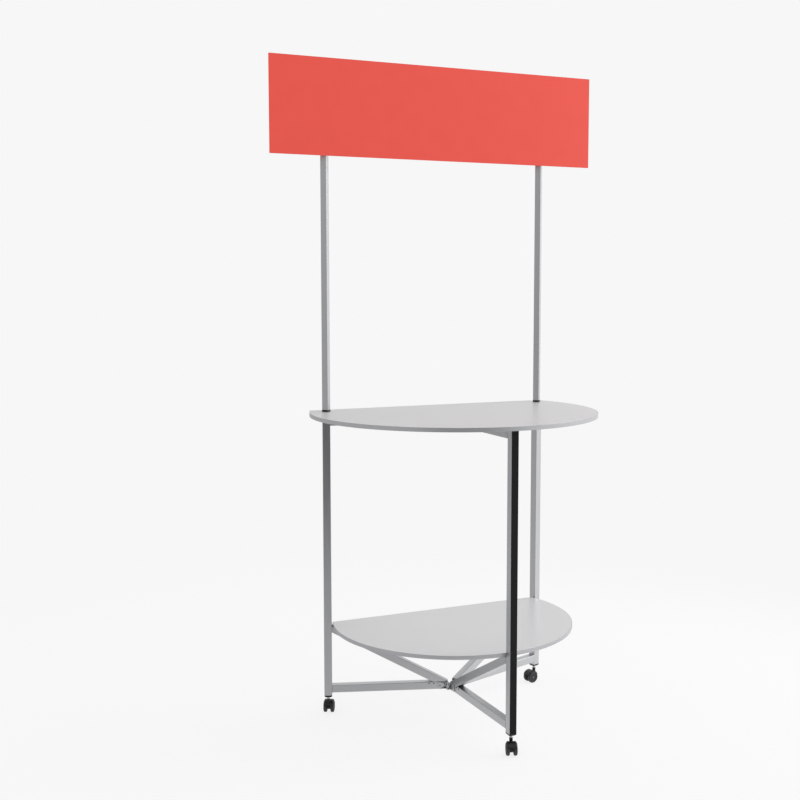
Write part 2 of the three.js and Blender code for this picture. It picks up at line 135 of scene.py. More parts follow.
def block(low, high):
    """A plain block between two corners, to join to a piece or cut from it."""
    size = Vector(high) - Vector(low)
    middle = (Vector(high) + Vector(low)) / 2
    begin(bpy.ops.mesh.primitive_cube_add, size=1, location=middle, scale=size)
    return close_up("block")


def combine(piece, other, operation):
    """Join another solid to a piece, or cut it away, and drop the other."""
    change = piece.modifiers.new("change", "BOOLEAN")
    change.operation = operation
    change.solver = "EXACT"
    change.object = other
    let_go()
    piece.select_set(True)
    bpy.context.view_layer.objects.active = piece
    bpy.ops.object.modifier_apply(modifier="change")
    bpy.data.objects.remove(other)
    return piece


def ease_edges(piece, width=EDGE_ROUNDING, segments=2):
    """Round a piece's sharp edges, and shade it so that its flats stay flat."""
    let_go()
    piece.select_set(True)
    bpy.context.view_layer.objects.active = piece
    rounding = piece.modifiers.new("rounding", "BEVEL")
    rounding.width = width
    rounding.segments = segments
    rounding.limit_method = "ANGLE"
    rounding.angle_limit = SMOOTH_ANGLE
    bpy.ops.object.modifier_apply(modifier="rounding")
    bpy.ops.object.shade_smooth_by_angle(angle=SMOOTH_ANGLE)
    flats = piece.modifiers.new("flats", "WEIGHTED_NORMAL")
    flats.keep_sharp = True
    bpy.ops.object.modifier_apply(modifier="flats")
    return piece


def set_out(pattern, places, name, node, body, finish):
    """Copy a pattern to each place, with its finish, and drop the pattern."""
    for key, place in places.items():
        let_go()
        pattern.select_set(True)
        bpy.context.view_layer.objects.active = pattern
        bpy.ops.object.duplicate()
        piece = bpy.context.object
        piece.name = name.format(key)
        piece.matrix_world = place
        bpy.ops.object.transform_apply(location=True, rotation=True, scale=True)
        piece.data.materials.clear()
        piece.data.materials.append(finish[key] if isinstance(finish, dict) else finish)
        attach(piece, body[key] if isinstance(body, dict) else body.format(key))
        if node:
            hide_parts(node[key] if isinstance(node, dict) else node.format(key))
    bpy.data.objects.remove(pattern)


def linear(code):
    """An sRGB hex colour as linear red, green, blue and alpha."""
    values = [int(code[place:place + 2], 16) / 255 for place in (1, 3, 5)]
    curved = [v / 12.92 if v <= 0.04045 else ((v + 0.055) / 1.055) ** 2.4 for v in values]
    return curved + [1.0]


def add_node(tree, kind, settings=None, inputs=None):
    """Add a node; an input given as a node and an output's name is linked, else it is set."""
    made = tree.nodes.new(kind)
    for key, value in (settings or {}).items():
        setattr(made, key, value)
    for key, value in (inputs or {}).items():
        if isinstance(value, tuple) and isinstance(value[0], bpy.types.Node):
            tree.links.new(value[0].outputs[value[1]], made.inputs[key])
        else:
            made.inputs[key].default_value = value
    return made


def new_finish(name, **sockets):
    """A material whose shader has the given constants on its own sockets."""
    material = bpy.data.materials.new(name)
    material.use_nodes = True
    shader = material.node_tree.nodes["Principled BSDF"]
    for key, value in sockets.items():
        shader.inputs[key.replace("_", " ")].default_value = value
    return material, material.node_tree, shader


# Satin anodised aluminium: the die leaves fine lines along the length, and the etched
# oxide skin blurs what it mirrors. The lines are really about 0.2 mm apart and are
# drawn at 0.7 mm so that they show.
DIE_LINE = 0.7 * MM
DIE_LINE_STRETCH = 120.0
DIE_LINE_DEPTH = 0.02 * MM
NOISE_LOW = 0.3
NOISE_HIGH = 0.7


def anodised_aluminium(name, heading, pitch):
    """The finish with its lines along a heading in plan and a pitch above the level."""
    material, tree, shader = new_finish(name, Metallic=1.0)
    place = add_node(tree, "ShaderNodeTexCoord")
    along = add_node(
        tree,
        "ShaderNodeMapping",
        {"vector_type": "TEXTURE"},
        {
            "Vector": (place, "Object"),
            "Rotation": (0, -pitch, heading),
            "Scale": (DIE_LINE_STRETCH, 1, 1),
        },
    )
    lines = add_node(
        tree,
        "ShaderNodeTexNoise",
        None,
        {"Vector": (along, "Vector"), "Scale": 1 / DIE_LINE, "Detail": 2.0, "Roughness": 0.6},
    )
    tone = add_node(
        tree,
        "ShaderNodeMix",
        {"data_type": "RGBA"},
        {0: (lines, "Fac"), 6: linear("#A9ABAD"), 7: linear("#BABBBD")},
    )
    haze = add_node(
        tree,
        "ShaderNodeMapRange",
        None,
        {
            "Value": (lines, "Fac"),
            "From Min": NOISE_LOW,
            "From Max": NOISE_HIGH,
            "To Min": 0.30,
            "To Max": 0.40,
        },
    )
    relief = add_node(
        tree,
        "ShaderNodeBump",
        None,
        {"Height": (lines, "Fac"), "Strength": 0.12, "Distance": DIE_LINE_DEPTH},
    )
    tree.links.new(tone.outputs[2], shader.inputs["Base Color"])
    tree.links.new(haze.outputs["Result"], shader.inputs["Roughness"])
    tree.links.new(relief.outputs["Normal"], shader.inputs["Normal"])
    return material


upright_aluminium = anodised_aluminium("anodised_aluminium_upright", 0, math.pi / 2)

post_low, post_high = (corner.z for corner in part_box("front_post"))
post_face = LEG_REACH + POST_SIDE / 2
begin(bpy.ops.mesh.primitive_plane_add, size=POST_SIDE, location=(LEG_REACH, 0, post_low))
bpy.ops.mesh.bevel(offset=POST_CORNER, segments=CORNER_STEPS, affect="VERTICES")
cut_along((post_face - CHANNEL_DEPTH, 0, 0), (1, 0, 0))
cut_along((0, CHANNEL_WIDTH / 2, 0), (0, 1, 0))
cut_along((0, -CHANNEL_WIDTH / 2, 0), (0, 1, 0))


def in_channel(face):
    middle = face.calc_center_median()
    return middle.x > post_face - CHANNEL_DEPTH and abs(middle.y) < CHANNEL_WIDTH / 2


pick("FACE", in_channel)
bpy.ops.mesh.delete(type="FACE")
bpy.ops.mesh.select_all(action="SELECT")
pull(0, 0, post_high - post_low)
post = close_up("post_pattern")
bore_half = POST_SIDE / 2 - POST_WALL
bore_low = (LEG_REACH - bore_half, -bore_half, post_low - MM)
bore_high = (post_face - CHANNEL_DEPTH - POST_WALL, bore_half, post_high + MM)
combine(post, block(bore_low, bore_high), "DIFFERENCE")
ease_edges(post)
set_out(
    post,
    leg_place,
    "{}_post_profile",
    "{}_post",
    "{}_frame",
    upright_aluminium,
)


# Post strips: black ABS extrusions pressed into the channels down the posts' outer faces.
# Each is a flat band, a little lower between its rims, with the soft sheen of the die.
STRIP_WIDTH = 22.5 * MM
STRIP_THICKNESS = 1.3 * MM
STRIP_RIM = 1.6 * MM
STRIP_DIP = 0.3 * MM
STRIP_EDGE = 0.2 * MM
SQUARE_ON = 0.9
GRAIN = 0.5 * MM
GRAIN_DEPTH = 0.05 * MM


def black_plastic(name, dark, light, rough_low, rough_high, gloss=0.5):
    """Moulded black plastic: a fine grain of about half a millimetre breaks up its sheen."""
    material, tree, shader = new_finish(name, IOR=1.46, Specular_IOR_Level=gloss)
    place = add_node(tree, "ShaderNodeTexCoord")
    grain = add_node(
        tree,
        "ShaderNodeTexNoise",
        None,
        {"Vector": (place, "Object"), "Scale": 1 / GRAIN, "Detail": 3.0, "Roughness": 0.55},
    )
    tone = add_node(
        tree,
        "ShaderNodeMix",
        {"data_type": "RGBA"},
        {0: (grain, "Fac"), 6: linear(dark), 7: linear(light)},
    )
    sheen = add_node(
        tree,
        "ShaderNodeMapRange",
        None,
        {
            "Value": (grain, "Fac"),
            "From Min": NOISE_LOW,
            "From Max": NOISE_HIGH,
            "To Min": rough_low,
            "To Max": rough_high,
        },
    )
    relief = add_node(
        tree,
        "ShaderNodeBump",
        None,
        {"Height": (grain, "Fac"), "Strength": 0.15, "Distance": GRAIN_DEPTH},
    )
    tree.links.new(tone.outputs[2], shader.inputs["Base Color"])
    tree.links.new(sheen.outputs["Result"], shader.inputs["Roughness"])
    tree.links.new(relief.outputs["Normal"], shader.inputs["Normal"])
    return material


black_abs = black_plastic(
    "black_abs_extruded", "#070808", "#0C0D0E", rough_low=0.44, rough_high=0.56, gloss=0.2
)

strip_low = Vector((post_face - STRIP_THICKNESS, -STRIP_WIDTH / 2, post_low))
strip_high = Vector((post_face, STRIP_WIDTH / 2, post_high))
begin(
    bpy.ops.mesh.primitive_cube_add,
    size=1,
    location=(strip_low + strip_high) / 2,
    scale=strip_high - strip_low,
)
pick("FACE", lambda face: face.normal.x > SQUARE_ON)
bpy.ops.mesh.inset(thickness=STRIP_RIM, depth=-STRIP_DIP)
strip = close_up("strip_pattern")
ease_edges(strip, STRIP_EDGE)
set_out(strip, leg_place, "{}_post_insert", "{}_post_strip", "{}_frame", black_abs)


# Post ends: black moulded caps on top, drilled for the pole pegs, and black sockets at
# the foot, drilled for the castor stems. Each is a thin plate with a plug in the bore,
# and the sockets taper below it.
END_PLATE = 3 * MM
SOCKET_TAPER = 4 * MM
SOCKET_TIP = 17 * MM
PLUG_PLAY = 0.3 * MM
CAP_HOLE = 8.4 * MM
SOCKET_HOLE = 4.3 * MM
END_EDGE = 0.5 * MM
ROUND_SIDES = 48


def rod(radius, start, end, sides=ROUND_SIDES):
    """A round bar between two points, to join to a piece or cut from it."""
    line = Vector(end) - Vector(start)
    middle = (Vector(start) + Vector(end)) / 2
    begin(
        bpy.ops.mesh.primitive_cylinder_add,
        vertices=sides,
        radius=radius,
        depth=line.length,
        location=middle,
        rotation=line.to_track_quat("Z", "Y").to_euler(),
    )
    return close_up("rod")


def post_end(plate_start, taper, plug_low, plug_high, hole):
    """A rounded plate over a post's end, with its taper, its plug and the hole through all."""
    begin(bpy.ops.mesh.primitive_plane_add, size=POST_SIDE, location=(LEG_REACH, 0, plate_start))
    bpy.ops.mesh.bevel(offset=POST_CORNER, segments=CORNER_STEPS, affect="VERTICES")
    pull(0, 0, -END_PLATE)
    if taper:
        pull(0, 0, -taper)
        bpy.ops.transform.resize(value=(SOCKET_TIP / POST_SIDE, SOCKET_TIP / POST_SIDE, 1))
    end = close_up("end_pattern")
    plug_from = (bore_low[0] + PLUG_PLAY, bore_low[1] + PLUG_PLAY, plug_low)
    plug_to = (bore_high[0] - PLUG_PLAY, bore_high[1] - PLUG_PLAY, plug_high)
    combine(end, block(plug_from, plug_to), "UNION")
    bottom = min(plate_start - END_PLATE - taper, plug_low) - MM
    top = max(plate_start, plug_high) + MM
    combine(end, rod(hole, (LEG_REACH, 0, bottom), (LEG_REACH, 0, top)), "DIFFERENCE")
    return ease_edges(end, END_EDGE, segments=3)


black_moulding = black_plastic(
    "black_abs_moulded", "#101113", "#17181A", rough_low=0.40, rough_high=0.55
)

cap_low, cap_high = (corner.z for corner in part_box("front_post_cap"))
cap = post_end(cap_high, 0, cap_low, cap_high - END_PLATE / 2, CAP_HOLE)
set_out(
    cap, leg_place, "{}_post_end_cap", "{}_post_cap", "{}_frame", black_moulding
)
socket_low, socket_high = (corner.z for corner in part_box("front_castor_socket"))
socket_plate = socket_low + SOCKET_TAPER + END_PLATE
socket_plug = socket_plate - END_PLATE / 2
socket = post_end(socket_plate, SOCKET_TAPER, socket_plug, socket_high, SOCKET_HOLE)
set_out(
    socket,
    leg_place,
    "{}_post_foot_plug",
    "{}_castor_socket",
    "{}_frame",
    black_moulding,
)


# Top arms and bottom struts: the same square tube as the posts without the channel,
# welded between the hub and each post. Black plugs close their ends at the hub.
PLUG_HEAD = 1.5 * MM
PLUG_DEPTH = 14 * MM
PLUG_GAP = 0.05 * MM
PLUG_EDGE = 0.4 * MM

level_aluminium = {
    leg: anodised_aluminium("anodised_aluminium_" + leg, heading, 0)
    for leg, heading in leg_heading.items()
}
arm_low, arm_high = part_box("front_top_arm")
arm_length = arm_high.y - arm_low.y
facing_out = (0, math.pi / 2, 0)
for tube_name, node_name in (("arm", "top_arm"), ("strut", "bottom_strut")):
    tube_low, tube_high = (corner.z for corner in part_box("front_" + node_name))
    level = (tube_low + tube_high) / 2
    begin(
        bpy.ops.mesh.primitive_plane_add,
        size=POST_SIDE,
        location=(0, 0, level),
        rotation=facing_out,
    )
    bpy.ops.mesh.bevel(offset=POST_CORNER, segments=CORNER_STEPS, affect="VERTICES")
    pull(arm_length, 0, 0)
    tube = close_up("tube_pattern")
    tube_bore_low = (-MM, -bore_half, level - bore_half)
    tube_bore_high = (arm_length + MM, bore_half, level + bore_half)
    combine(tube, block(tube_bore_low, tube_bore_high), "DIFFERENCE")
    ease_edges(tube)
    tube_piece = "{}_" + tube_name + "_tube"
    tube_node = "{}_" + node_name
    set_out(
        tube,
        leg_place,
        tube_piece,
        tube_node,
        "{}_frame",
        level_aluminium,
    )

    begin(
        bpy.ops.mesh.primitive_plane_add,
        size=POST_SIDE,
        location=(-PLUG_HEAD, 0, level),
        rotation=facing_out,
    )
    bpy.ops.mesh.bevel(offset=POST_CORNER, segments=CORNER_STEPS, affect="VERTICES")
    pull(PLUG_HEAD - PLUG_GAP, 0, 0)
    plug = close_up("plug_pattern")
    plug_half = bore_half - PLUG_PLAY
    plug_from = (-PLUG_HEAD / 2, -plug_half, level - plug_half)
    combine(plug, block(plug_from, (PLUG_DEPTH, plug_half, level + plug_half)), "UNION")
    ease_edges(plug, PLUG_EDGE, segments=3)
    plug_piece = "{}_" + tube_name + "_end_plug"
    set_out(plug, leg_place, plug_piece, None, "{}_frame", black_moulding)


# Diagonal braces: the same square tube once more, mitred to stand on the strut by the hub
# and to meet the post, with the top corner there cut level under the shelf.
BRACE_HEEL = 2 * MM
BRACE_CUT = 10.5 * MM
BRACE_SPARE = 1.4
IN_LINE = 0.99

strut_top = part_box("front_bottom_strut")[1].z
brace_seat, brace_head = (corner.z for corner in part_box("front_diagonal_brace"))
brace_foot = strut_top + BRACE_HEEL
brace_rise = brace_head + BRACE_CUT - brace_foot
brace_pitch = math.atan2(brace_rise, arm_length)
brace_drop = POST_SIDE / math.cos(brace_pitch)
brace_line = Vector((math.cos(brace_pitch), 0, math.sin(brace_pitch)))
begin(
    bpy.ops.mesh.primitive_cube_add,
    size=1,
    location=(arm_length / 2, 0, brace_foot + (brace_rise - brace_drop) / 2),
    rotation=(0, -brace_pitch, 0),
    scale=(arm_length * BRACE_SPARE, POST_SIDE, POST_SIDE),
)


def along_brace(edge):
    line = edge.verts[1].co - edge.verts[0].co
    return abs(line.normalized().dot(brace_line)) > IN_LINE


pick("EDGE", along_brace)
bpy.ops.mesh.bevel(offset=POST_CORNER, segments=CORNER_STEPS, affect="EDGES")
cut_along((0, 0, brace_seat), (0, 0, -1), use_fill=True, clear_outer=True)
cut_along((0, 0, brace_head), (0, 0, 1), use_fill=True, clear_outer=True)
cut_along((0, 0, 0), (-1, 0, 0), use_fill=True, clear_outer=True)
cut_along((arm_length, 0, 0), (1, 0, 0), use_fill=True, clear_outer=True)
brace = close_up("brace_pattern")
ease_edges(brace)
sloping_aluminium = {
    leg: anodised_aluminium("anodised_aluminium_sloping_" + leg, heading, brace_pitch)
    for leg, heading in leg_heading.items()
}
set_out(
    brace,
    leg_place,
    "{}_brace_tube",
    "{}_diagonal_brace",
    "{}_frame",
    sloping_aluminium,
)


# Shelf rests: flat black moulded pads that close the level heads of the braces, and that
# the shelf lies on.
REST_LENGTH = 18 * MM
REST_WIDTH = 24 * MM
REST_CORNER = 2 * MM
REST_EDGE = 0.4 * MM

rest_low, rest_high = (corner.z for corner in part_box("front_shelf_rest"))
rest_from = Vector((arm_length - REST_LENGTH, -REST_WIDTH / 2, rest_low))
rest_to = Vector((arm_length, REST_WIDTH / 2, rest_high))
begin(
    bpy.ops.mesh.primitive_cube_add,
    size=1,
    location=(rest_from + rest_to) / 2,
    scale=rest_to - rest_from,
)
pick("EDGE", lambda edge: abs(edge.verts[0].co.z - edge.verts[1].co.z) > MM)
bpy.ops.mesh.bevel(offset=REST_CORNER, segments=4, affect="EDGES")
rest = close_up("rest_pattern")
ease_edges(rest, REST_EDGE, segments=3)
set_out(
    rest, leg_place, "{}_shelf_pad", "{}_shelf_rest", "{}_frame", black_moulding
)


# Hinges: pressed steel leaves, zinc plated, riveted to the sides of the arms and struts
# by the hub. Knuckles on a leaf of the front frame and one on a rear frame's leaf share
# a headed pin, so that each rear frame swings forward beside the front one.
LEAF_LENGTH = 34 * MM
LEAF_THICKNESS = 2.5 * MM
LEAF_CORNER = 4 * MM
LEAF_WEB = 6 * MM
LEAF_EDGE = 0.2 * MM
HINGE_HALF = 11 * MM
MIDDLE_HALF = 3.7 * MM
KNUCKLE_GAP = 0.4 * MM
BARREL_RADIUS = 6 * MM
BARREL_ROOM = 6.5 * MM
PIN_RADIUS = 3 * MM
PIN_ROOM = 3.15 * MM
PIN_HEAD_RADIUS = 4.5 * MM
PIN_HEAD = 1 * MM
PIN_EDGE = 0.45 * MM
SPANGLE = 3 * MM

leaf_inner = POST_SIDE / 2 + PLUG_PLAY
leaf_outer = leaf_inner + LEAF_THICKNESS


def zinc_plated_steel():
    """Bright zinc on pressed steel: cloudy spangles a few millimetres across, blurred mirror."""
    material, tree, shader = new_finish("zinc_plated_steel", Metallic=1.0)
    place = add_node(tree, "ShaderNodeTexCoord")
    spangle = add_node(
        tree,
        "ShaderNodeTexNoise",
        None,
        {"Vector": (place, "Object"), "Scale": 1 / SPANGLE, "Detail": 4.0, "Roughness": 0.6},
    )
    tone = add_node(
        tree,
        "ShaderNodeMix",
        {"data_type": "RGBA"},
        {0: (spangle, "Fac"), 6: linear("#A2A4A6"), 7: linear("#C0C1C3")},
    )
    haze = add_node(
        tree,
        "ShaderNodeMapRange",
        None,
        {
            "Value": (spangle, "Fac"),
            "From Min": NOISE_LOW,
            "From Max": NOISE_HIGH,
            "To Min": 0.26,
            "To Max": 0.44,
        },
    )
    tree.links.new(tone.outputs[2], shader.inputs["Base Color"])
    tree.links.new(haze.outputs["Result"], shader.inputs["Roughness"])
    return material


def hinge_leaf(knuckles):
    """A leaf on the left-hand side of a bar, level with the hinge's middle."""
    begin(
        bpy.ops.mesh.primitive_cube_add,
        size=1,
        location=(LEAF_LENGTH / 2, (leaf_inner + leaf_outer) / 2, 0),
        scale=(LEAF_LENGTH, LEAF_THICKNESS, 2 * HINGE_HALF),
    )
    pick(
        "EDGE",
        lambda edge: all(corner.co.x > LEAF_LENGTH - MM for corner in edge.verts)
        and abs(edge.verts[0].co.z - edge.verts[1].co.z) < MM,
    )
    bpy.ops.mesh.bevel(offset=LEAF_CORNER, segments=6, affect="EDGES")
    leaf = close_up("leaf_pattern")
    below, above = -HINGE_HALF - MM, HINGE_HALF + MM
    combine(leaf, rod(BARREL_ROOM, (0, pin_offset, below), (0, pin_offset, above)), "DIFFERENCE")
    for start, end in knuckles:
        combine(leaf, block((0, leaf_inner, start), (LEAF_WEB, pin_offset, end)), "UNION")
        combine(leaf, rod(BARREL_RADIUS, (0, pin_offset, start), (0, pin_offset, end)), "UNION")
    combine(leaf, rod(PIN_ROOM, (0, pin_offset, below), (0, pin_offset, above)), "DIFFERENCE")
    return ease_edges(leaf, LEAF_EDGE)


def hinge_pin():
    """A pin with a low domed head on each end."""
    shank = HINGE_HALF + PLUG_PLAY
    pin = rod(PIN_RADIUS, (0, pin_offset, -shank), (0, pin_offset, shank))
    for end in (-1, 1):
        inner = (0, pin_offset, end * shank)
        outer = (0, pin_offset, end * (shank + PIN_HEAD))
        combine(pin, rod(PIN_HEAD_RADIUS, inner, outer), "UNION")
    return ease_edges(pin, PIN_EDGE, segments=4)


turned_over = Matrix.Rotation(math.pi, 4, "X")
arm_level = (arm_low.z + arm_high.z) / 2
strut_level = strut_top - POST_SIDE / 2
fixed_place = {}
moving_place = {}
moving_body = {}
for side in ("left", "right"):
    for height, level in (("upper", arm_level), ("lower", strut_level)):
        raised = Matrix.Translation((0, 0, level))
        hinge = side + "_" + height
        front_side = leg_place["front"] @ raised
        rear_side = leg_place[side] @ raised
        fixed_place[hinge] = front_side @ turned_over if side == "left" else front_side
        moving_place[hinge] = rear_side if side == "left" else rear_side @ turned_over
        moving_body[hinge] = side + "_frame"

zinc = zinc_plated_steel()
outer_knuckles = (
    (-HINGE_HALF, -MIDDLE_HALF - KNUCKLE_GAP),
    (MIDDLE_HALF + KNUCKLE_GAP, HINGE_HALF),
)
set_out(
    hinge_leaf(outer_knuckles),
    fixed_place,
    "{}_hinge_fixed_plate",
    "{}_hinge_fixed_leaf",
    "front_frame",
    zinc,
)
set_out(
    hinge_leaf(((-MIDDLE_HALF, MIDDLE_HALF),)),
    moving_place,
    "{}_hinge_moving_plate",
    "{}_hinge_moving_leaf",
    moving_body,
    zinc,
)
set_out(
    hinge_pin(), fixed_place, "{}_hinge_rod", "{}_hinge_pin", "front_frame", zinc
)


# Rivets: steel rivets with low domed heads, the heads coloured near-black. Three go through each
# hinge leaf, and a pair on each side of a strut where the foot of its brace is fixed.
RIVET_RADIUS = 2 * MM
RIVET_HEAD = 0.9 * MM
RIVET_SIDES = 24
SHOULDER_WIDTH = 0.6 * MM
SHOULDER_RISE = 0.35 * MM
CROWN_WIDTH = 0.7 * MM
CROWN_RISE = 0.15 * MM
LEAF_RIVETS = ((11 * MM, -5 * MM), (11 * MM, 5 * MM), (26 * MM, 0))
BRACE_RIVETS = (46 * MM, 62 * MM)
BRACE_RIVET_DROP = 5 * MM


def rivet(x, y, z, out):
    """One rivet's head standing on a face that looks along Y."""
    begin(
        bpy.ops.mesh.primitive_cylinder_add,
        vertices=RIVET_SIDES,
        radius=RIVET_RADIUS,
        depth=RIVET_HEAD,
        location=(x, y + out * RIVET_HEAD / 2, z),
        rotation=(math.pi / 2, 0, 0),
    )
    pick("FACE", lambda face: face.normal.y * out > SQUARE_ON)
    bpy.ops.mesh.inset(thickness=SHOULDER_WIDTH, depth=SHOULDER_RISE)
    bpy.ops.mesh.inset(thickness=CROWN_WIDTH, depth=CROWN_RISE)
    return close_up("rivet")


def rivet_group(heads):
    """Several rivets as one piece."""
    let_go()
    for head in heads:
        head.select_set(True)
    bpy.context.view_layer.objects.active = heads[0]
    bpy.ops.object.join()
    bpy.ops.object.shade_smooth_by_angle(angle=SMOOTH_ANGLE)
    return bpy.context.object


# The rivet heads take the near-black plastic finish, so they show darker than the zinc leaves they
# hold.
dark_rivet = black_plastic(
    "near_black_rivet", "#1B1C1E", "#26272A", rough_low=0.32, rough_high=0.44
)
for leaf_kind, places, body in (
    ("fixed", fixed_place, "front_frame"),
    ("moving", moving_place, moving_body),
):
    leaf_rivets = rivet_group([rivet(x, leaf_outer, z, 1) for x, z in LEAF_RIVETS])
    rivets_piece = "{}_hinge_" + leaf_kind + "_rivets"
    set_out(leaf_rivets, places, rivets_piece, None, body, dark_rivet)
rivet_level = strut_top - BRACE_RIVET_DROP
brace_rivets = rivet_group(
    [rivet(x, out * POST_SIDE / 2, rivet_level, out) for x in BRACE_RIVETS for out in (-1, 1)]
)
set_out(brace_rivets, leg_place, "{}_brace_rivets", None, "{}_frame", dark_rivet)


# Castor housings: black nylon mouldings, each a hood over two wheels with a web between
# them and a short neck round the foot of the stem.
WHEEL_RADIUS = 20 * MM
CASTOR_TRAIL = 15 * MM
HOOD_INNER = 21 * MM
HOOD_THICKNESS = 1.8 * MM
HOOD_WIDTH = 28 * MM
HOOD_START = math.radians(22)
HOOD_END = math.radians(160)
HOOD_ROUNDING = 1.4 * MM
WEB_WIDTH = 10 * MM
WEB_RADIUS = 10.5 * MM
WEB_STEP = 0.3 * MM
NECK_RADIUS = 5.5 * MM
NECK_LOW = 34 * MM
NECK_HIGH = 50 * MM
STEM_RADIUS = 4 * MM
STEM_DEPTH = 12 * MM
AXLE_ROOM = 2.65 * MM
TRACK_RADIUS = 20.7 * MM
CASTOR_SIDES = 96
HOUSING_EDGE = 0.3 * MM
NEAR = 0.1 * MM

castor_place = {}
for leg in leg_heading:
    stem_at = joint_at[leg + "_castor_swivel"]
    axle_at = joint_at[leg + "_wheel_a_spin"]
    trail = math.atan2(axle_at.y - stem_at.y, axle_at.x - stem_at.x)
    turned = Matrix.Rotation(trail, 4, "Z")
    castor_place[leg] = Matrix.Translation((stem_at.x, stem_at.y, 0)) @ turned

hood_middle = HOOD_INNER + HOOD_THICKNESS / 2
axle_centre = Vector((CASTOR_TRAIL, 0, WHEEL_RADIUS))
across = Vector((0, 1, 0))


def hood_sector(radius, width, rounding):
    """The part of a disc round the axle between the ends of the hood, its rims rounded."""
    begin(
        bpy.ops.mesh.primitive_cylinder_add,
        vertices=CASTOR_SIDES,
        radius=radius,
        depth=width,
        location=axle_centre,
        rotation=(math.pi / 2, 0, 0),
    )
    before_start = (math.sin(HOOD_START), 0, -math.cos(HOOD_START))
    past_end = (-math.sin(HOOD_END), 0, math.cos(HOOD_END))
    cut_along(axle_centre, before_start, use_fill=True, clear_outer=True)
    cut_along(axle_centre, past_end, use_fill=True, clear_outer=True)

    def on_rim(edge):
        ends = [corner.co - axle_centre for corner in edge.verts]
        level = abs(ends[0].y - ends[1].y) < NEAR
        return level and all(math.hypot(end.x, end.z) > radius - NEAR for end in ends)

    if rounding:
        pick("EDGE", on_rim)
        bpy.ops.mesh.bevel(offset=rounding, segments=4, affect="EDGES")
    return close_up("sector")


housing = hood_sector(HOOD_INNER + HOOD_THICKNESS, HOOD_WIDTH, HOOD_ROUNDING)
housing.name = "housing_pattern"
past_hood = across * HOOD_WIDTH
hollow = rod(HOOD_INNER, axle_centre - past_hood, axle_centre + past_hood, CASTOR_SIDES)
combine(housing, hollow, "DIFFERENCE")
combine(housing, rod(NECK_RADIUS, (0, 0, NECK_LOW), (0, 0, NECK_HIGH)), "UNION")
for out in (-1, 1):
    track_inner = axle_centre + across * out * (WEB_WIDTH / 2 + WEB_STEP)
    track_outer = axle_centre + past_hood * out
    combine(housing, rod(TRACK_RADIUS, track_inner, track_outer, CASTOR_SIDES), "DIFFERENCE")
combine(housing, hood_sector(hood_middle, WEB_WIDTH, 0), "UNION")
web_half = across * (WEB_WIDTH / 2 - WEB_STEP)
web_disc = rod(WEB_RADIUS, axle_centre - web_half, axle_centre + web_half, CASTOR_SIDES)
combine(housing, web_disc, "UNION")
axle_low = axle_centre - across * WEB_WIDTH
axle_high = axle_centre + across * WEB_WIDTH
combine(housing, rod(AXLE_ROOM, axle_low, axle_high), "DIFFERENCE")
stem_low = NECK_HIGH - STEM_DEPTH
combine(housing, rod(STEM_RADIUS, (0, 0, stem_low), (0, 0, NECK_HIGH + MM)), "DIFFERENCE")
ease_edges(housing, HOUSING_EDGE)
black_nylon = black_plastic(
    "black_nylon_moulded", "#0E0F10", "#16171A", rough_low=0.28, rough_high=0.40, gloss=0.35
)
set_out(
    housing,
    castor_place,
    "{}_castor_housing",
    "{}_castor_fork",
    "{}_castor",
    black_nylon,
)


# Castor stems and axles: plain steel pins. A stem is pressed into the housing's neck and
# turns in the post's socket, and both wheels turn on the axle through the web.
STEM_FIT = 0.03 * MM
AXLE_RADIUS = 2.5 * MM
AXLE_HALF = 15 * MM
STEM_EDGE = 0.6 * MM
SPINDLE_EDGE = 0.4 * MM

stem_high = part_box("front_castor_fork")[1].z
stem = rod(STEM_RADIUS - STEM_FIT, (0, 0, stem_low + STEM_FIT), (0, 0, stem_high))
ease_edges(stem, STEM_EDGE, segments=3)
set_out(stem, castor_place, "{}_castor_stem", None, "{}_castor", zinc)
spindle = rod(AXLE_RADIUS, axle_centre - across * AXLE_HALF, axle_centre + across * AXLE_HALF)
ease_edges(spindle, SPINDLE_EDGE, segments=3)
set_out(
    spindle, castor_place, "{}_castor_spindle", "{}_castor_axle", "{}_castor", zinc
)


# Castor wheels: moulded nylon discs with a rounded tread, a dished outer face and a raised
# hub round the axle. Grit from the floor dulls the tread.
WHEEL_INNER = 6 * MM
WHEEL_WIDTH = 11 * MM
TREAD_ROUNDING = 4 * MM
WHEEL_RIM = 0.8 * MM
DISH_SLOPE = 1.6 * MM
DISH_DEPTH = 2 * MM
DISH_FLAT = 7 * MM
HUB_SLOPE = 1.2 * MM
HUB_RISE = 1.6 * MM
WHEEL_EDGE = 0.2 * MM
FLAT_ON = 0.9999

begin(
    bpy.ops.mesh.primitive_cylinder_add,
    vertices=CASTOR_SIDES,
    radius=WHEEL_RADIUS,
    depth=WHEEL_WIDTH,
    location=axle_centre + across * (WHEEL_INNER + WHEEL_WIDTH / 2),
    rotation=(math.pi / 2, 0, 0),
)
pick("EDGE", lambda edge: abs(edge.verts[0].co.y - edge.verts[1].co.y) < NEAR)
bpy.ops.mesh.bevel(offset=TREAD_ROUNDING, segments=6, affect="EDGES")
pick("FACE", lambda face: face.normal.y > FLAT_ON)
bpy.ops.mesh.inset(thickness=WHEEL_RIM)
bpy.ops.mesh.inset(thickness=DISH_SLOPE, depth=-DISH_DEPTH)
bpy.ops.mesh.inset(thickness=DISH_FLAT)
bpy.ops.mesh.inset(thickness=HUB_SLOPE, depth=HUB_RISE)
wheel = close_up("wheel_pattern")
wheel_low = axle_centre + across * (WHEEL_INNER - MM)
wheel_high = axle_centre + across * (WHEEL_INNER + WHEEL_WIDTH + MM)
combine(wheel, rod(AXLE_ROOM, wheel_low, wheel_high), "DIFFERENCE")
ease_edges(wheel, WHEEL_EDGE)
half_turn = Matrix.Rotation(math.pi, 4, "Z")
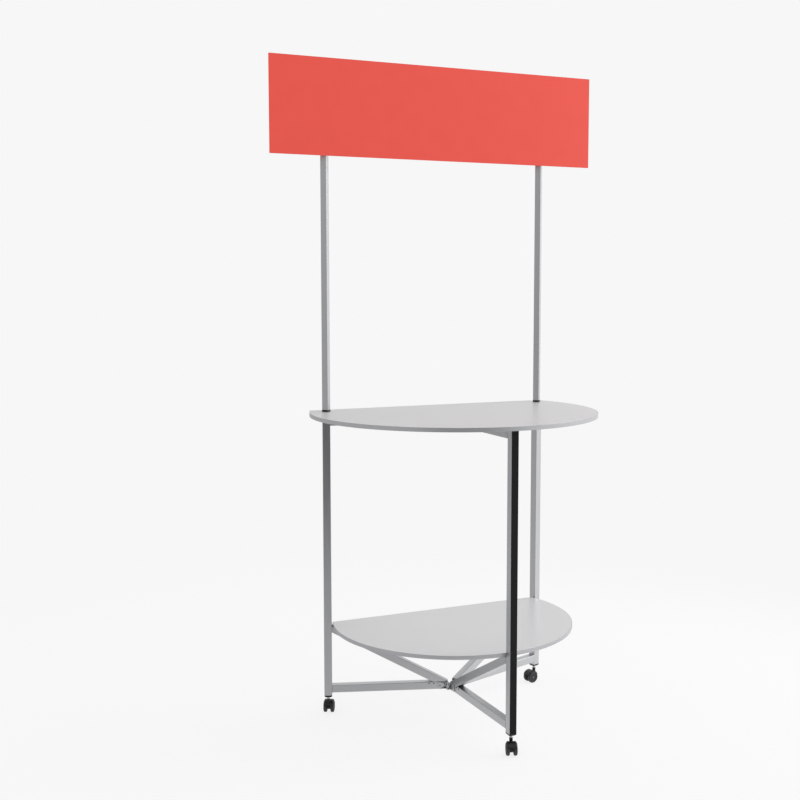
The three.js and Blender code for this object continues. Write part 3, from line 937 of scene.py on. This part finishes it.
about_axle = Matrix.Translation(axle_centre) @ half_turn @ Matrix.Translation(-axle_centre)
wheel_place = {}
wheel_node = {}
for leg, place in castor_place.items():
    wheel_place[leg + "_wheel_a"] = place
    wheel_place[leg + "_wheel_b"] = place @ about_axle
    wheel_node[leg + "_wheel_a"] = leg + "_castor_wheel_a"
    wheel_node[leg + "_wheel_b"] = leg + "_castor_wheel_b"
worn_nylon = black_plastic(
    "black_nylon_tread", "#26272A", "#323336", rough_low=0.48, rough_high=0.66
)
set_out(wheel, wheel_place, "{}_disc", wheel_node, "{}", worn_nylon)


# Shelf and counter: half-round chipboard panels faced with smooth light grey laminate,
# with a silver-grey band bonded round the edge. The shelf drops between the posts onto
# its rests, and the counter lies over the frames and is bored for the pole pegs.
SHELF_CENTRE = 14 * MM
COUNTER_CENTRE = 9 * MM
BAND_THICKNESS = 1.2 * MM
BAND_BOND = 0.05 * MM
ARC_STEPS = 384
PEG_HOLE = 8.4 * MM
PANEL_EDGE = 0.1 * MM
BAND_EDGE = 0.35 * MM
ORANGE_PEEL = 4 * MM
PEEL_DEPTH = 0.05 * MM
CLOUD = 180 * MM

joins_at = {side: joint_at[side + "_castor_swivel"] for side in ("left", "right")}


def grey_laminate():
    """Pressed melamine laminate: even light grey, a satin sheen, hardly any orange peel."""
    material, tree, shader = new_finish("light_grey_laminate", IOR=1.5)
    place = add_node(tree, "ShaderNodeTexCoord")
    cloud = add_node(
        tree,
        "ShaderNodeTexNoise",
        None,
        {"Vector": (place, "Object"), "Scale": 1 / CLOUD, "Detail": 3.0, "Roughness": 0.5},
    )
    tone = add_node(
        tree,
        "ShaderNodeMix",
        {"data_type": "RGBA"},
        {0: (cloud, "Fac"), 6: linear("#D8D8D9"), 7: linear("#DDDDDE")},
    )
    sheen = add_node(
        tree,
        "ShaderNodeMapRange",
        None,
        {
            "Value": (cloud, "Fac"),
            "From Min": NOISE_LOW,
            "From Max": NOISE_HIGH,
            "To Min": 0.28,
            "To Max": 0.34,
        },
    )
    peel = add_node(
        tree,
        "ShaderNodeTexNoise",
        None,
        {"Vector": (place, "Object"), "Scale": 1 / ORANGE_PEEL, "Detail": 1.0},
    )
    relief = add_node(
        tree,
        "ShaderNodeBump",
        None,
        {"Height": (peel, "Fac"), "Strength": 0.05, "Distance": PEEL_DEPTH},
    )
    tree.links.new(tone.outputs[2], shader.inputs["Base Color"])
    tree.links.new(sheen.outputs["Result"], shader.inputs["Roughness"])
    tree.links.new(relief.outputs["Normal"], shader.inputs["Normal"])
    return material


def silver_band():
    """Silver-grey ABS banding: metal flake in the plastic gives a soft metallic sheen."""
    material, tree, shader = new_finish("silver_abs_band", Metallic=0.6)
    place = add_node(tree, "ShaderNodeTexCoord")
    flake = add_node(
        tree,
        "ShaderNodeTexNoise",
        None,
        {"Vector": (place, "Object"), "Scale": 1 / GRAIN, "Detail": 2.0, "Roughness": 0.7},
    )
    tone = add_node(
        tree,
        "ShaderNodeMix",
        {"data_type": "RGBA"},
        {0: (flake, "Fac"), 6: linear("#A3A4A7"), 7: linear("#B7B8BA")},
    )
    sheen = add_node(
        tree,
        "ShaderNodeMapRange",
        None,
        {
            "Value": (flake, "Fac"),
            "From Min": NOISE_LOW,
            "From Max": NOISE_HIGH,
            "To Min": 0.36,
            "To Max": 0.48,
        },
    )
    tree.links.new(tone.outputs[2], shader.inputs["Base Color"])
    tree.links.new(sheen.outputs["Result"], shader.inputs["Roughness"])
    return material


def half_round(radius, centre, back, low):
    """Start a flat half-round outline, open for shaping."""
    begin(
        bpy.ops.mesh.primitive_circle_add,
        vertices=ARC_STEPS,
        radius=radius,
        fill_type="NGON",
        location=(0, centre, low),
    )
    cut_along((0, back, 0), (0, 1, 0), clear_outer=True)
    bpy.ops.mesh.select_all(action="SELECT")


laminate = grey_laminate()
banding = silver_band()
for name, offset in (("shelf", SHELF_CENTRE), ("counter", COUNTER_CENTRE)):
    band_low, band_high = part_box(name + "_edge_band")
    centre = hub_y + offset
    radius = centre - band_low.y
    thickness = band_high.z - band_low.z
    inset = BAND_THICKNESS + BAND_BOND

    half_round(radius - inset, centre, band_high.y - inset, band_low.z)
    pull(0, 0, thickness)
    panel = close_up(name + "_panel")
    if name == "counter":
        for at in joins_at.values():
            bore = rod(PEG_HOLE, (at.x, at.y, band_low.z - MM), (at.x, at.y, band_high.z + MM))
            combine(panel, bore, "DIFFERENCE")
    ease_edges(panel, PANEL_EDGE)
    panel.data.materials.append(laminate)
    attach(panel, name)
    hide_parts(name + "_board")

    half_round(radius, centre, band_high.y, band_low.z)
    bpy.ops.mesh.inset(thickness=BAND_THICKNESS)
    bpy.ops.mesh.delete(type="FACE")
    bpy.ops.mesh.select_all(action="SELECT")
    pull(0, 0, thickness)
    band = close_up(name + "_lipping")
    ease_edges(band, BAND_EDGE, segments=3)
    band.data.materials.append(banding)
    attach(band, name)
    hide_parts(name + "_edge_band")


# Poles: lighter square aluminium tubes that stand over the rear posts with an edge to the
# front and carry the sign.
POLE_SIDE = 20 * MM
POLE_CORNER = 1 * MM
POLE_CORNER_STEPS = 4
POLE_WALL = 1.8 * MM
POLE_TURN = math.radians(45)

pole_low, pole_high = (corner.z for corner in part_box("left_pole"))
begin(bpy.ops.mesh.primitive_plane_add, size=POLE_SIDE, location=(0, 0, pole_low))
bpy.ops.mesh.bevel(offset=POLE_CORNER, segments=POLE_CORNER_STEPS, affect="VERTICES")
pull(0, 0, pole_high - pole_low)
pole = close_up("pole_pattern")
pole_bore = POLE_SIDE / 2 - POLE_WALL
combine(
    pole,
    block((-pole_bore, -pole_bore, pole_low - MM), (pole_bore, pole_bore, pole_high + MM)),
    "DIFFERENCE",
)
ease_edges(pole)
pole_place = {
    side: Matrix.Translation((at.x, at.y, 0)) @ Matrix.Rotation(POLE_TURN, 4, "Z")
    for side, at in joins_at.items()
}
set_out(pole, pole_place, "{}_pole_tube", "{}_pole", "sign", upright_aluminium)


# Pole feet: black moulded plugs under the poles, each with a square flange on the counter,
# a spigot in the tube and a round peg down through the counter.
FOOT_SIDE = 21 * MM
FOOT_HEIGHT = 6 * MM
FOOT_SPIGOT = 45 * MM
PEG_RADIUS = 8 * MM
FOOT_EDGE = 0.5 * MM

foot_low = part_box("left_pole_foot")[0].z
flange_high = pole_low - PLUG_PLAY
flange_low = flange_high - FOOT_HEIGHT
begin(bpy.ops.mesh.primitive_plane_add, size=FOOT_SIDE, location=(0, 0, flange_low))
bpy.ops.mesh.bevel(offset=POLE_CORNER, segments=POLE_CORNER_STEPS, affect="VERTICES")
pull(0, 0, FOOT_HEIGHT)
foot = close_up("foot_pattern")
spigot = pole_bore - PLUG_PLAY
spigot_low = (-spigot, -spigot, flange_high - MM)
combine(foot, block(spigot_low, (spigot, spigot, flange_high + FOOT_SPIGOT)), "UNION")
combine(foot, rod(PEG_RADIUS, (0, 0, foot_low), (0, 0, flange_low + MM)), "UNION")
ease_edges(foot, FOOT_EDGE, segments=3)
set_out(foot, pole_place, "{}_pole_plug", "{}_pole_foot", "sign", black_moulding)


# Sign sleeves: aluminium blocks bonded to the back of the sign, each with a square bore
# that a pole slides up into.
SLEEVE_WALL = 2.5 * MM
SLEEVE_PLAY = 0.3 * MM
SLEEVE_EDGE = 0.3 * MM

sleeve_low, sleeve_high = (corner.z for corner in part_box("left_sign_sleeve"))
sleeve_bore = POLE_SIDE / 2 + SLEEVE_PLAY
sleeve_side = 2 * (sleeve_bore * math.sqrt(2) + SLEEVE_WALL)
begin(bpy.ops.mesh.primitive_plane_add, size=sleeve_side, location=(0, 0, sleeve_low))
bpy.ops.mesh.bevel(offset=POST_CORNER, segments=POLE_CORNER_STEPS, affect="VERTICES")
pull(0, 0, sleeve_high - sleeve_low)
sleeve = close_up("sleeve_pattern")
begin(
    bpy.ops.mesh.primitive_cube_add,
    size=1,
    location=(0, 0, (sleeve_low + sleeve_high) / 2),
    rotation=(0, 0, POLE_TURN),
    scale=(2 * sleeve_bore, 2 * sleeve_bore, 2 * (sleeve_high - sleeve_low)),
)
combine(sleeve, close_up("sleeve_bore"), "DIFFERENCE")
ease_edges(sleeve, SLEEVE_EDGE)
sleeve_place = {side: Matrix.Translation((at.x, at.y, 0)) for side, at in joins_at.items()}
set_out(
    sleeve,
    sleeve_place,
    "{}_sign_socket",
    "{}_sign_sleeve",
    "sign",
    upright_aluminium,
)


# Sign: a plain flat panel of rigid PVC sheet with a satin red film over it, its corners
# and edges just eased by hand.
SIGN_CORNER = 1.5 * MM
SIGN_EDGE = 0.3 * MM
FILM_RIPPLE = 60 * MM
FILM_GRAIN = 0.8 * MM
FILM_GRAIN_DEPTH = 0.04 * MM


def red_film():
    """Satin red vinyl film on sheet: even colour, faint ripple and a fine calendered grain."""
    material, tree, shader = new_finish("satin_red_film", IOR=1.45)
    place = add_node(tree, "ShaderNodeTexCoord")
    ripple = add_node(
        tree,
        "ShaderNodeTexNoise",
        None,
        {"Vector": (place, "Object"), "Scale": 1 / FILM_RIPPLE, "Detail": 2.0},
    )
    grain = add_node(
        tree,
        "ShaderNodeTexNoise",
        None,
        {"Vector": (place, "Object"), "Scale": 1 / FILM_GRAIN, "Detail": 2.0},
    )
    tone = add_node(
        tree,
        "ShaderNodeMix",
        {"data_type": "RGBA"},
        {0: (ripple, "Fac"), 6: linear("#E34A3C"), 7: linear("#E74F42")},
    )
    sheen = add_node(
        tree,
        "ShaderNodeMapRange",
        None,
        {
            "Value": (grain, "Fac"),
            "From Min": NOISE_LOW,
            "From Max": NOISE_HIGH,
            "To Min": 0.42,
            "To Max": 0.56,
        },
    )
    relief = add_node(
        tree,
        "ShaderNodeBump",
        None,
        {"Height": (grain, "Fac"), "Strength": 0.08, "Distance": FILM_GRAIN_DEPTH},
    )
    tree.links.new(tone.outputs[2], shader.inputs["Base Color"])
    tree.links.new(sheen.outputs["Result"], shader.inputs["Roughness"])
    tree.links.new(relief.outputs["Normal"], shader.inputs["Normal"])
    return material


panel_low, panel_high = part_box("sign_panel")
begin(
    bpy.ops.mesh.primitive_cube_add,
    size=1,
    location=(panel_low + panel_high) / 2,
    scale=panel_high - panel_low,
)
pick("EDGE", lambda edge: abs(edge.verts[0].co.y - edge.verts[1].co.y) > MM)
bpy.ops.mesh.bevel(offset=SIGN_CORNER, segments=4, affect="EDGES")
sign = close_up("sign_sheet")
ease_edges(sign, SIGN_EDGE)
sign.data.materials.append(red_film())
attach(sign, "sign")
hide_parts("sign_panel")


# Studio: a plain pale floor and soft light, brightest from the right and from behind, with
# the side towards the camera left dimmer, as the metal shows.
FLOOR_RADIUS = 2.4
FLOOR_SIDES = 128
FLOOR_FADE = 1.0
FLOOR_GLOW = 0.8
BACKDROP = linear("#F7F7F7")[0]
MIRROR_LEFT = -0.5
MIRROR_RIGHT = 0.7
MIRROR_DIM = 0.8
MIRROR_BRIGHT = 1.45
RIGHT_HAND = (0.9, -0.45, 0.0)
TO_CAMERA = (-0.2, -0.98, 0.0)
UPWARDS = (0.0, 0.0, 1.0)

let_go()
bpy.ops.mesh.primitive_circle_add(
    vertices=FLOOR_SIDES, radius=FLOOR_RADIUS, fill_type="NGON", location=(0, 0, 0)
)
floor = bpy.context.object
floor.name = "pale_floor"
floor_finish = bpy.data.materials.new("pale_floor_paint")
floor_finish.use_nodes = True
tree = floor_finish.node_tree
tree.nodes.clear()

# Near the bar a fifth of the floor is paint that takes the shadow. The rest of it, and all of it
# further out, is the white of the backdrop. In mirrors the floor also glows with a painted light,
# dimmer to the left and brighter than white to the right, for the metal to reflect.
ray = add_node(tree, "ShaderNodeLightPath")
bent = add_node(
    tree,
    "ShaderNodeMath",
    {"operation": "MAXIMUM"},
    {0: (ray, "Is Glossy Ray"), 1: (ray, "Is Transmission Ray")},
)
seen = add_node(
    tree,
    "ShaderNodeMath",
    {"operation": "MAXIMUM"},
    {0: (ray, "Is Camera Ray"), 1: (bent, "Value")},
)
spot = add_node(tree, "ShaderNodeTexCoord")
distance = add_node(tree, "ShaderNodeVectorMath", {"operation": "LENGTH"}, {0: (spot, "Object")})
share = add_node(
    tree,
    "ShaderNodeMapRange",
    {"interpolation_type": "SMOOTHSTEP"},
    {
        "Value": (distance, "Value"),
        "From Min": FLOOR_FADE,
        "From Max": FLOOR_RADIUS,
        "To Min": FLOOR_GLOW,
        "To Max": 1.0,
    },
)
glow_share = add_node(
    tree,
    "ShaderNodeMath",
    {"operation": "MULTIPLY"},
    {0: (seen, "Value"), 1: (share, "Result")},
)
level = add_node(
    tree,
    "ShaderNodeMapRange",
    {"interpolation_type": "SMOOTHSTEP"},
    {
        "Value": (distance, "Value"),
        "From Min": FLOOR_FADE,
        "From Max": FLOOR_RADIUS,
        "To Min": 1.0,
        "To Max": BACKDROP,
    },
)
along = add_node(tree, "ShaderNodeSeparateXYZ", None, {"Vector": (spot, "Object")})
# Painted light in the floor that only mirrors see: its glow rises from dim on the left to brighter
# than white on the right.
painted_mirror_light = add_node(
    tree,
    "ShaderNodeMapRange",
    {"interpolation_type": "SMOOTHSTEP"},
    {
        "Value": (along, "X"),
        "From Min": MIRROR_LEFT,
        "From Max": MIRROR_RIGHT,
        "To Min": MIRROR_DIM,
        "To Max": MIRROR_BRIGHT,
    },
)
seen_level = add_node(
    tree,
    "ShaderNodeMix",
    None,
    {0: (bent, "Value"), 2: (level, "Result"), 3: (painted_mirror_light, "Result")},
)
paint = add_node(tree, "ShaderNodeBsdfDiffuse", None, {"Color": linear("#FAFAFA")})
glow = add_node(
    tree, "ShaderNodeEmission", None, {"Color": linear("#FFFFFF"), "Strength": (seen_level, 0)}
)
mixed = add_node(
    tree,
    "ShaderNodeMixShader",
    None,
    {0: (glow_share, "Value"), 1: (paint, "BSDF"), 2: (glow, "Emission")},
)
add_node(tree, "ShaderNodeOutputMaterial", None, {"Surface": (mixed, "Shader")})
floor.data.materials.append(floor_finish)

world = bpy.data.worlds.new("studio")
bpy.context.scene.world = world
world.use_nodes = True
tree = world.node_tree
tree.nodes.clear()
ray = add_node(tree, "ShaderNodeLightPath")
direction = add_node(tree, "ShaderNodeTexCoord")


def facing(towards, edge, centre, at_edge, at_centre):
    """A level that changes as a ray's direction turns towards one side of the studio."""
    turned = add_node(
        tree,
        "ShaderNodeVectorMath",
        {"operation": "DOT_PRODUCT"},
        {0: (direction, "Generated"), 1: towards},
    )
    return add_node(
        tree,
        "ShaderNodeMapRange",
        {"interpolation_type": "SMOOTHSTEP"},
        {
            "Value": (turned, "Value"),
            "From Min": edge,
            "From Max": centre,
            "To Min": at_edge,
            "To Max": at_centre,
        },
    )


walls = facing(RIGHT_HAND, edge=0.0, centre=0.65, at_edge=0.66, at_centre=1.25)
open_front = facing(TO_CAMERA, edge=0.66, centre=0.95, at_edge=1.0, at_centre=0.15)
upper = facing(UPWARDS, edge=0.2, centre=0.34, at_edge=1.0, at_centre=1.6)
sky = facing(UPWARDS, edge=0.5, centre=0.9, at_edge=1.05, at_centre=0.25)
sides = add_node(
    tree,
    "ShaderNodeMath",
    {"operation": "MULTIPLY"},
    {0: (walls, "Result"), 1: (open_front, "Result")},
)
room = add_node(
    tree,
    "ShaderNodeMath",
    {"operation": "MULTIPLY"},
    {0: (sides, "Value"), 1: (upper, "Result")},
)
bent = add_node(
    tree,
    "ShaderNodeMath",
    {"operation": "MAXIMUM"},
    {0: (ray, "Is Glossy Ray"), 1: (ray, "Is Transmission Ray")},
)
lit = add_node(
    tree, "ShaderNodeMix", None, {0: (bent, "Value"), 2: (sky, "Result"), 3: (room, "Value")}
)
shown = add_node(tree, "ShaderNodeMix", None, {0: (ray, "Is Camera Ray"), 2: (lit, 0), 3: BACKDROP})
studio = add_node(
    tree, "ShaderNodeBackground", None, {"Color": linear("#FFFFFF"), "Strength": (shown, 0)}
)
add_node(tree, "ShaderNodeOutputWorld", None, {"Surface": (studio, "Background")})

LAMPS = (
    ("right_softbox", (3.2, -0.6, 2.3), (0.0, 0.1, 0.9), 2.4, 40.0),
    ("overhead_softbox", (0.4, 0.2, 4.4), (0.0, 0.0, 0.6), 2.8, 3.0),
)
for name, at, aim, side, power in LAMPS:
    turn = (Vector(aim) - Vector(at)).to_track_quat("-Z", "Y").to_euler()
    bpy.ops.object.light_add(type="AREA", location=at, rotation=turn)
    lamp = bpy.context.object
    lamp.name = name
    lamp.data.size = side
    lamp.data.energy = power


# Camera: stands to the left of the bar a little over counter height, as in the photograph.
CAMERA_PLACE = (-1.6585, -3.2728, 1.4077)
CAMERA_PITCH = 0.09602
CAMERA_YAW = -0.42358
FOCAL_LENGTH = 52.845
FRAME_SHIFT = (-0.02396, -0.00325)

bpy.ops.object.camera_add(
    location=CAMERA_PLACE, rotation=(math.pi / 2 - CAMERA_PITCH, 0, CAMERA_YAW)
)
camera = bpy.context.object
camera.data.lens = FOCAL_LENGTH
camera.data.shift_x, camera.data.shift_y = FRAME_SHIFT
bpy.context.scene.camera = camera
bpy.context.scene.view_settings.view_transform = "Standard"
